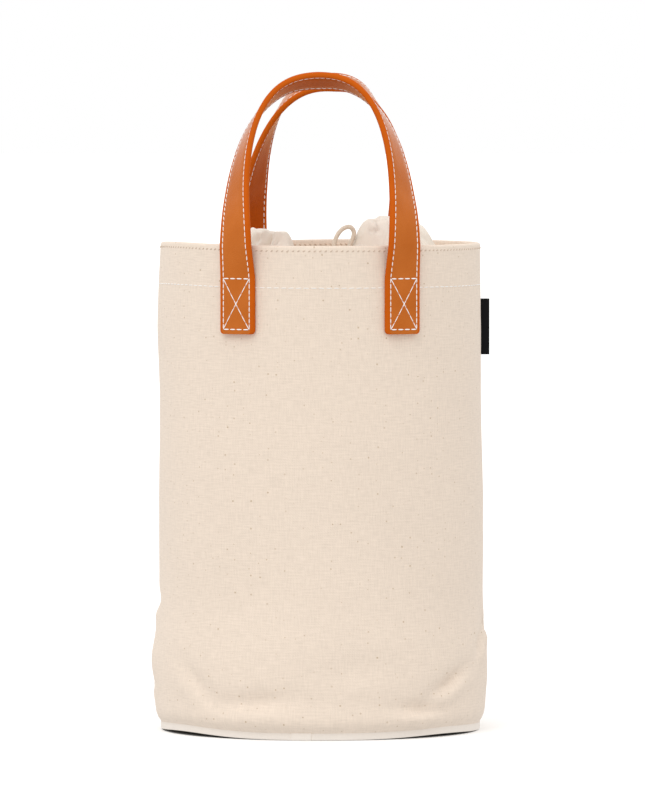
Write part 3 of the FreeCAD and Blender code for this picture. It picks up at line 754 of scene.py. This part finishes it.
class Strap:
    """Where a strap runs: from one tab's foot up over the arch and down to the other tab's foot."""

    def __init__(self, tab_angle, lean, yaw, sway, turn, press):
        self.angle = math.radians(tab_angle)
        self.twist = math.radians(90 - tab_angle)
        self.lean, self.yaw, self.sway = (math.radians(v) for v in (lean, yaw, sway))
        self.turn = Matrix.Rotation(math.radians(turn), 3, "Z")
        self.press = press
        self.reach = tab_reach
        for _ in range(FIT_ROUNDS):
            self.span = self.reach * math.sin(self.angle)
            self.lay_out()
            self.reach = tab_reach + self.peel(TAB_TOP_DROP / self.half)
        self.hinge = Vector((0, -self.reach * math.cos(self.angle), rim_height))
        self.length = 2 * (self.half + TAB_LENGTH)

    def lay_out(self):
        """Half of the strap's line above its tab, as (beside, up) points, and the way along it."""
        power = 2 / ARCH_FULLNESS
        self.points = [(self.span, -TAB_TOP_DROP), (self.span, 0.0)]
        for a in evenly(0, math.pi / 2, ARCH_STEPS)[1:]:
            beside = self.span * max(0.0, math.cos(a)) ** power
            self.points.append((beside, ARCH_HEIGHT * math.sin(a) ** power))
        self.lengths = [0.0]
        for (ax, az), (bx, bz) in zip(self.points, self.points[1:]):
            self.lengths.append(self.lengths[-1] + math.hypot(bx - ax, bz - az))
        self.half = self.lengths[-1]

    def twist_at(self, share):
        """Twist that is left at a share of the way from the tab to the crown."""
        return self.twist * max(0.0, 1 - share) ** TWIST_POWER

    def peel(self, share):
        """How far the strap's middle stands off the wall so that its edge still clears it."""
        return STRAP_WIDTH / 2 * math.sin(self.twist - self.twist_at(share))

    def at(self, distance):
        """Middle, width direction, outward normal and how far the strap is still wrapped on the wall."""
        side = -1
        if distance > self.length / 2:
            side = 1
            distance = self.length - distance
        distance -= TAB_LENGTH
        below = min(0.0, distance)
        distance = max(0.0, distance)
        i = 0
        while i < len(self.points) - 2 and self.lengths[i + 1] < distance:
            i += 1
        (ax, az), (bx, bz) = self.points[i], self.points[i + 1]
        run = self.lengths[i + 1] - self.lengths[i]
        part = (distance - self.lengths[i]) / run
        u, w = ax + (bx - ax) * part, az + (bz - az) * part
        du, dw = (bx - ax) / run, (bz - az) / run
        share = distance / self.half
        twist = self.twist_at(share)
        reach = min(tab_reach + self.peel(share), self.reach)
        if w <= 0:
            u = reach * math.sin(self.angle)
        if side < 0:
            u -= self.press * ease(w, PRESS_START, PRESS_END) * min(1.0, u / (PRESS_SHARE * self.span))
        middle = Vector((side * u, -reach * math.cos(self.angle), rim_height + w + below))
        tangent = Vector((side * du, 0, dw))
        normal = Vector((side * dw, 0, -du)) * math.cos(twist) + Vector((0, -1, 0)) * math.sin(twist)
        width = tangent.cross(normal) * -side
        if w > 0:
            rise = ease(w, 0, LEAN_RUN)
            swing = Matrix.Rotation(-self.lean * rise, 3, "X") @ Matrix.Rotation(self.sway * rise, 3, "Y")
            swing = swing @ Matrix.Rotation(self.yaw * ease(w, 0, ARCH_HEIGHT), 3, "Z")
            middle = self.hinge + swing @ (middle - self.hinge)
            width, normal = swing @ width, swing @ normal
        wrapped = 1 - ease(distance, 0, TAB_TOP_DROP)
        width, normal = (self.turn @ width).normalized(), (self.turn @ normal).normalized()
        return self.turn @ middle, width, normal, wrapped

    def point(self, distance, across, through):
        """A point of the strap: so far along it, across it, and out of its middle."""
        middle, width, normal, wrapped = self.at(distance)
        sag = -across * across / (2 * tab_reach) * wrapped
        return middle + width * across + normal * (through + sag)


STITCH_INSET = 3.1 * MM
SEAM_DIP, SEAM_OUT, SEAM_IN = 0.22 * MM, 0.8 * MM, 0.9 * MM
MARGIN_RISE, CROWN_RISE, CROWN_SHARE = 0.12 * MM, 0.05 * MM, 0.45
# Points across one face, and the strips beside each edge that are painted with it.
FACE_POINTS, PAINTED_STRIPS = 10, 1
CORNER_STEPS = (0.0, 0.04, 0.15, 0.32, 0.6, 1.0)
OUTER_SLOT, PAINT_SLOT, INNER_SLOT = 0, 1, 2


def strap_outline(end_gap):
    """Cross-section of the strap as (across, through) points; near its end the corners are rounded off."""
    half, deep = STRAP_WIDTH / 2, STRAP_THICKNESS / 2
    if end_gap < TAB_CORNER:
        half -= TAB_CORNER - math.sqrt(max(0.0, TAB_CORNER**2 - (TAB_CORNER - end_gap) ** 2))
    seam = half - STITCH_INSET
    flat = half - EDGE_ROUND
    right = [
        (flat, deep + MARGIN_RISE),
        (seam + SEAM_OUT, deep + MARGIN_RISE),
        (seam, deep - SEAM_DIP),
        (seam - SEAM_IN, deep),
        (seam * CROWN_SHARE, deep + CROWN_RISE),
    ]
    outer_face = right + [(-x, y) for x, y in reversed(right)]
    edge = [
        (-flat - EDGE_ROUND * math.sin(turn), deep * math.cos(turn))
        for turn in evenly(0, math.pi, EDGE_STEPS)[1:-1]
    ]
    half_round = outer_face + edge
    return half_round + [(-x, -y) for x, y in half_round]


def strap_piece(name, strap, materials):
    """The leather of one handle: its cross-section carried along the strap, with painted edges and ends."""
    bm = bmesh.new()
    near_end = [TAB_CORNER * s for s in CORNER_STEPS]
    body = evenly(near_end[-1], strap.length - near_end[-1], STRAP_STEPS)[1:-1]
    stations = near_end + body + [strap.length - d for d in reversed(near_end)]
    outlines = [strap_outline(min(d, strap.length - d)) for d in stations]
    along, around = len(stations) - 1, len(outlines[0])
    bmesh.ops.create_grid(bm, x_segments=along, y_segments=around, size=1)
    for face in bm.faces:
        side, place = divmod((face.calc_center_median().y + 1) / 2 * around, around / 2)
        face.material_index = PAINT_SLOT
        if PAINTED_STRIPS < place < FACE_POINTS - 1 - PAINTED_STRIPS:
            face.material_index = INNER_SLOT if side else OUTER_SLOT
    for v in bm.verts:
        i = round((v.co.x + 1) / 2 * along)
        j = round((v.co.y + 1) / 2 * around) % around
        v.co = strap.point(stations[i], *outlines[i][j])
    bmesh.ops.remove_doubles(bm, verts=bm.verts, dist=WELD)
    caps = bmesh.ops.holes_fill(bm, edges=[e for e in bm.edges if e.is_boundary])
    for face in caps["faces"]:
        face.material_index = PAINT_SLOT
    bmesh.ops.recalc_face_normals(bm, faces=bm.faces)
    return finished_piece(name, bm, *materials)


def leather_grain():
    """Cloudy tones and pores: the colour and the relief of a leather."""
    group = bpy.data.node_groups.new("leather grain", "ShaderNodeTree")
    sockets = group.interface
    sockets.new_socket("Leather", in_out="INPUT", socket_type="NodeSocketVector")
    for name in ("Light", "Dark"):
        sockets.new_socket(name, in_out="INPUT", socket_type="NodeSocketColor")
    sockets.new_socket("Color", in_out="OUTPUT", socket_type="NodeSocketColor")
    sockets.new_socket("Height", in_out="OUTPUT", socket_type="NodeSocketFloat")
    tree = group.nodes
    link = group.links.new
    given = tree.new("NodeGroupInput")
    made = tree.new("NodeGroupOutput")
    cloudy = tree.new("ShaderNodeTexNoise")
    cloudy.inputs["Scale"].default_value = 60.0
    cloudy.inputs["Detail"].default_value = 4.0
    link(given.outputs["Leather"], cloudy.inputs["Vector"])
    tone = tree.new("ShaderNodeMix")
    tone.data_type = "RGBA"
    link(cloudy.outputs["Fac"], tone.inputs["Factor"])
    link(given.outputs["Dark"], tone.inputs["A"])
    link(given.outputs["Light"], tone.inputs["B"])
    link(tone.outputs["Result"], made.inputs["Color"])
    pores = tree.new("ShaderNodeTexVoronoi")
    pores.inputs["Scale"].default_value = 1100.0
    link(given.outputs["Leather"], pores.inputs["Vector"])
    link(pores.outputs["Distance"], made.inputs["Height"])
    return group


leather_group = leather_grain()


def leather_material(name, light, dark, haze, bloom, roughness, grain):
    """Leather in two clouded tones, with pores and a haze that blooms where it is seen aslant."""
    material = bpy.data.materials.new(name)
    material.use_nodes = True
    tree = material.node_tree
    shader = tree.nodes["Principled BSDF"]
    shader.inputs["Specular IOR Level"].default_value = 0.04
    shader.inputs["Roughness"].default_value = roughness
    shader.inputs["Sheen Weight"].default_value = haze
    shader.inputs["Sheen Roughness"].default_value = 0.29
    shader.inputs["Sheen Tint"].default_value = (*bloom, 1)
    place = tree.nodes.new("ShaderNodeTexCoord")
    hide = tree.nodes.new("ShaderNodeGroup")
    hide.node_tree = leather_group
    hide.inputs["Light"].default_value = (*light, 1)
    hide.inputs["Dark"].default_value = (*dark, 1)
    tree.links.new(place.outputs["Object"], hide.inputs["Leather"])
    relief = tree.nodes.new("ShaderNodeBump")
    relief.inputs["Strength"].default_value = grain
    relief.inputs["Distance"].default_value = 0.2 * MM
    tree.links.new(hide.outputs["Height"], relief.inputs["Height"])
    tree.links.new(relief.outputs["Normal"], shader.inputs["Normal"])
    tree.links.new(hide.outputs["Color"], shader.inputs["Base Color"])
    return material


EDGE_PITCH, EDGE_STITCH, EDGE_THREAD, EDGE_SINK = 3.8 * MM, 3.6 * MM, 0.74 * MM, 0.2 * MM
BOX_COUNT, BOX_FILL, BOX_THREAD = 4, 0.84, 0.95 * MM
CROSS_COUNT, CROSS_STITCH, CROSS_THREAD, TAB_SINK = 7, 6.0 * MM, 0.62 * MM, 0.02 * MM
LOOK_AHEAD, SHARE_AHEAD = 0.4 * MM, 0.01
seam_line = STRAP_WIDTH / 2 - STITCH_INSET


def edge_rows(bm, strap):
    """A row of stitches along both edges of both faces."""
    run = strap.length - 2 * STITCH_INSET
    count = round(run / EDGE_PITCH)
    for face in (1, -1):
        through = face * (STRAP_THICKNESS / 2 - EDGE_SINK)
        for across in (seam_line, -seam_line):
            for i in range(count):
                distance = STITCH_INSET + run / count * (i + 0.5)
                place = strap.point(distance, across, through)
                ahead = strap.point(distance + LOOK_AHEAD, across, through)
                normal = strap.at(distance)[2]
                add_stitch(bm, place, ahead - place, normal * face, EDGE_STITCH, EDGE_THREAD)


def boxed_cross(bm, strap, far):
    """The sewing that holds one tab: a row across its foot and its top, and two from corner to corner."""
    rise = TAB_LENGTH - STITCH_INSET

    def on_tab(across, height):
        distance = strap.length - height if far else height
        _, width, normal, _ = strap.at(distance)
        return strap.point(distance, across, STRAP_THICKNESS / 2 - TAB_SINK), width, normal

    for height in (STITCH_INSET, TAB_LENGTH):
        for i in range(BOX_COUNT):
            across = seam_line * (2 * (i + 0.5) / BOX_COUNT - 1)
            place, width, normal = on_tab(across, height)
            add_stitch(bm, place, width, normal, 2 * seam_line / BOX_COUNT * BOX_FILL, BOX_THREAD)
    for slope in (1, -1):
        for i in range(CROSS_COUNT):
            share = (i + 0.5) / CROSS_COUNT
            next_share = share + SHARE_AHEAD
            place, _, normal = on_tab(slope * seam_line * (2 * share - 1), STITCH_INSET + rise * share)
            ahead, _, _ = on_tab(slope * seam_line * (2 * next_share - 1), STITCH_INSET + rise * next_share)
            add_stitch(bm, place, ahead - place, normal, CROSS_STITCH, CROSS_THREAD)


def strap_sewing(name, strap):
    """All the white thread of one handle."""
    bm = bmesh.new()
    edge_rows(bm, strap)
    for far in (False, True):
        boxed_cross(bm, strap, far)
    return finished_piece(name, bm, white_thread)


PALE, WARM = (1.0, 0.88, 0.83), (1.0, 0.60, 0.32)
tan = leather_material(
    "tan leather",
    light=(0.58, 0.162, 0.028),
    dark=(0.46, 0.110, 0.012),
    haze=0.95,
    bloom=PALE,
    roughness=0.55,
    grain=0.55,
)
paint = leather_material(
    "edge paint",
    light=(0.58, 0.110, 0.005),
    dark=(0.50, 0.088, 0.004),
    haze=0.06,
    bloom=WARM,
    roughness=0.5,
    grain=0.05,
)
# The backing is darker than the face: partly its own tone of leather, partly painted shade for the inner
# side of the arch, which faces away from the light.
backing = leather_material(
    "tan backing and painted shade",
    light=(0.47, 0.083, 0.003),
    dark=(0.37, 0.058, 0.001),
    haze=1.0,
    bloom=WARM,
    roughness=0.6,
    grain=0.55,
)
for side, pose in HANDLES.items():
    strap = Strap(**pose)
    leather = strap_piece(f"{side}_strap", strap, (tan, paint, backing))
    sewing = strap_sewing(f"{side}_strap_sewing", strap)
    layers = [f"{side}_handle_{layer}" for layer in ("outer", "backing")]
    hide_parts(*[f"{layer}_{part}" for layer in layers for part in ("tabs", "flex", "arch")])
    for piece in (leather, sewing):
        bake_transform(piece)


# Studio: a white floor that runs out of sight, soft light all round, stronger from above, and a broad lamp.
# The light from below comes past the floor, so a dull patch keeps it from under the bag; the patch is grey,
# a painted shadow where the base lifts off the floor.
FLOOR_RADIUS, FLOOR_DROP, FLOOR_GREY = 30.0, 0.2 * MM, 1.0
PATCH_INSET, PATCH_DROP, PATCH_SHADOW_GREY = 1 * MM, 0.1 * MM, 0.4
LIGHT_BELOW, LIGHT_ABOVE, LIGHT_SEEN = 0.84, 1.28, 1.0
KEY_LEVEL, KEY_SPREAD, KEY_DIRECTION = 0.64, math.radians(40), (0.45, 1.0, -1.2)


def floor_disc(name, radius, drop, grey):
    """A flat round sheet of dull paper under the bag."""
    bm = bmesh.new()
    bmesh.ops.create_circle(bm, cap_ends=True, segments=96, radius=radius)
    bmesh.ops.translate(bm, verts=bm.verts, vec=(0, 0, -drop))
    paper = bpy.data.materials.new(name)
    paper.use_nodes = True
    shader = paper.node_tree.nodes["Principled BSDF"]
    shader.inputs["Base Color"].default_value = (grey, grey, grey, 1)
    shader.inputs["Roughness"].default_value = 1.0
    shader.inputs["Specular IOR Level"].default_value = 0.0
    disc = finished_piece(name, bm, paper)
    return disc


floor = floor_disc("floor", FLOOR_RADIUS, FLOOR_DROP, FLOOR_GREY)
floor.visible_diffuse = False
floor.visible_shadow = False
# The grey of this patch is painted shadow: it shows dark in the gap under the lifted edge of the base.
floor_disc("floor_shadow_patch", binding_outer - PATCH_INSET, PATCH_DROP, PATCH_SHADOW_GREY)

world = bpy.data.worlds.new("studio")
bpy.context.scene.world = world
world.use_nodes = True
tree = world.node_tree
backdrop = tree.nodes["Background"]
backdrop.inputs["Color"].default_value = (1, 1, 1, 1)
rays = tree.nodes.new("ShaderNodeLightPath")
seen = rays.outputs["Is Camera Ray"]
for ray in ("Is Transmission Ray", "Is Glossy Ray"):
    either = tree.nodes.new("ShaderNodeMath")
    either.operation = "MAXIMUM"
    tree.links.new(seen, either.inputs[0])
    tree.links.new(rays.outputs[ray], either.inputs[1])
    seen = either.outputs[0]
direction = tree.nodes.new("ShaderNodeTexCoord")
height = tree.nodes.new("ShaderNodeSeparateXYZ")
tree.links.new(direction.outputs["Generated"], height.inputs[0])
overhead = tree.nodes.new("ShaderNodeMapRange")
overhead.inputs["To Min"].default_value = LIGHT_BELOW
overhead.inputs["To Max"].default_value = LIGHT_ABOVE
tree.links.new(height.outputs["Z"], overhead.inputs["Value"])
level = tree.nodes.new("ShaderNodeMix")
level.inputs["B"].default_value = LIGHT_SEEN
tree.links.new(seen, level.inputs["Factor"])
tree.links.new(overhead.outputs["Result"], level.inputs["A"])
tree.links.new(level.outputs["Result"], backdrop.inputs["Strength"])

lamp = bpy.data.lights.new("key_light", "SUN")
lamp.energy = KEY_LEVEL
lamp.angle = KEY_SPREAD
key_light = bpy.data.objects.new("key_light", lamp)
bpy.context.collection.objects.link(key_light)
key_light.rotation_euler = Vector(KEY_DIRECTION).to_track_quat("-Z", "Y").to_euler()


# Camera: a little above the handles and far off, as with a long lens, a hair to the right of the front.
# The picture's height is given at the bag, so the lens follows from the distance.
CAMERA_DISTANCE, CAMERA_HEIGHT, CAMERA_AZIMUTH = 6.0, 0.462, math.radians(1.0)
AIM_HEIGHT, SIDE_STEP, PICTURE_HEIGHT = 0.218, 1.4 * MM, 0.5407
SENSOR = 36.0
camera_data = bpy.data.cameras.new("camera")
camera = bpy.data.objects.new("camera", camera_data)
bpy.context.collection.objects.link(camera)
bpy.context.scene.camera = camera
right = Vector((math.cos(CAMERA_AZIMUTH), math.sin(CAMERA_AZIMUTH), 0))
front = Vector((math.sin(CAMERA_AZIMUTH), -math.cos(CAMERA_AZIMUTH), 0))
aim = right * SIDE_STEP + Vector((0, 0, AIM_HEIGHT))
camera.location = right * SIDE_STEP + front * CAMERA_DISTANCE + Vector((0, 0, CAMERA_HEIGHT))
camera.rotation_euler = (aim - camera.location).to_track_quat("-Z", "Y").to_euler()
camera_data.sensor_fit = "VERTICAL"
camera_data.sensor_height = SENSOR
camera_data.lens = SENSOR * (aim - camera.location).length / PICTURE_HEIGHT
camera_data.clip_end = 100.0
bpy.context.scene.view_settings.view_transform = "Standard"
